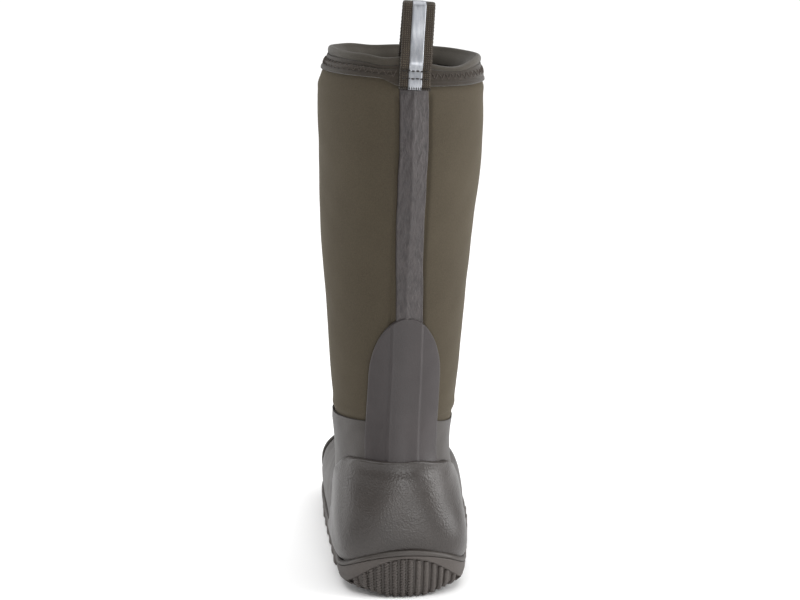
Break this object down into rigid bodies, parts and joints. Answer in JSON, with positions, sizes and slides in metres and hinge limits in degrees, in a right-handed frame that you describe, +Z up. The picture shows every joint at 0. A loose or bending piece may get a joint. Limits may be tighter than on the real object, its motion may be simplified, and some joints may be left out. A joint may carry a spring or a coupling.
{
  "type": "insulated hunting boot",
  "caption": "Knee-high insulated field boot: lugged rubber sole and foot shell, padded sleeve-like shaft, stitched collar, rear pull loop that folds, and a lift-out footbed.",
  "frame": {"origin": "on the ground under the middle of the heel", "axes": "+Z up the shaft, +Y from the heel to the toe, +X to the wearer's right, which is the outer side of this right boot"},
  "size_m": [0.1301, 0.3122, 0.4467],
  "materials": {
    "tread_rubber": "matt moulded tread rubber",
    "rubber": "satin, with a fine pebbled grain",
    "backstay_rubber": "satin, slightly wrinkled",
    "olive_neoprene": "olive knit face on foam",
    "foam": "closed-cell foam",
    "stiffener_board": "pressed fibre board",
    "steel": "plain spring steel",
    "fleece": "brushed fleece",
    "collar_knit": "ribbed stretch knit",
    "thread": "twisted thread",
    "webbing": "woven webbing",
    "reflective": "retro-reflective tape"
  },
  "bodies": {
    "boot": {"outsole": "tread_rubber", "midsole": "foam", "shank": "steel", "foxing_rim": "rubber", "foot_shell": "rubber", "heel_shell": "rubber", "heel_counter": "stiffener_board", "toe_cap": "rubber", "toe_puff": "stiffener_board", "ankle_band": "rubber", "achilles_patch": "rubber", "backstay_strip": "backstay_rubber", "shaft_neoprene": "olive_neoprene", "foot_neoprene": "foam", "shaft_lining": "fleece", "foot_lining": "fleece", "thermal_underlay": "foam", "collar_band": "collar_knit", "topline_binding": "collar_knit", "collar_stitching": "thread", "webbing_outer_end": "webbing", "webbing_inner_end": "webbing", "reflective_tape_end": "reflective", "webbing_stitching": "thread"},
    "loop": {"pull_loop": "webbing", "reflective_tape": "reflective"},
    "insole": {"footbed": "foam", "footbed_cover": "fleece"}
  },
  "joints": [
    {"name": "pull_loop_fold", "type": "hinge", "parent": "boot", "child": "loop", "pos_m": [0.00743, -0.0362, 0.41294], "axis": [0.9981, 0, -0.061], "range_deg": [-95, 100], "stiffness_Nm_per_rad": 0.01},
    {"name": "footbed_lift", "type": "hinge", "parent": "boot", "child": "insole", "pos_m": [0.0025, 0.228, 0.034], "axis": [-1, 0, 0], "range_deg": [0, 8]}
  ]
}
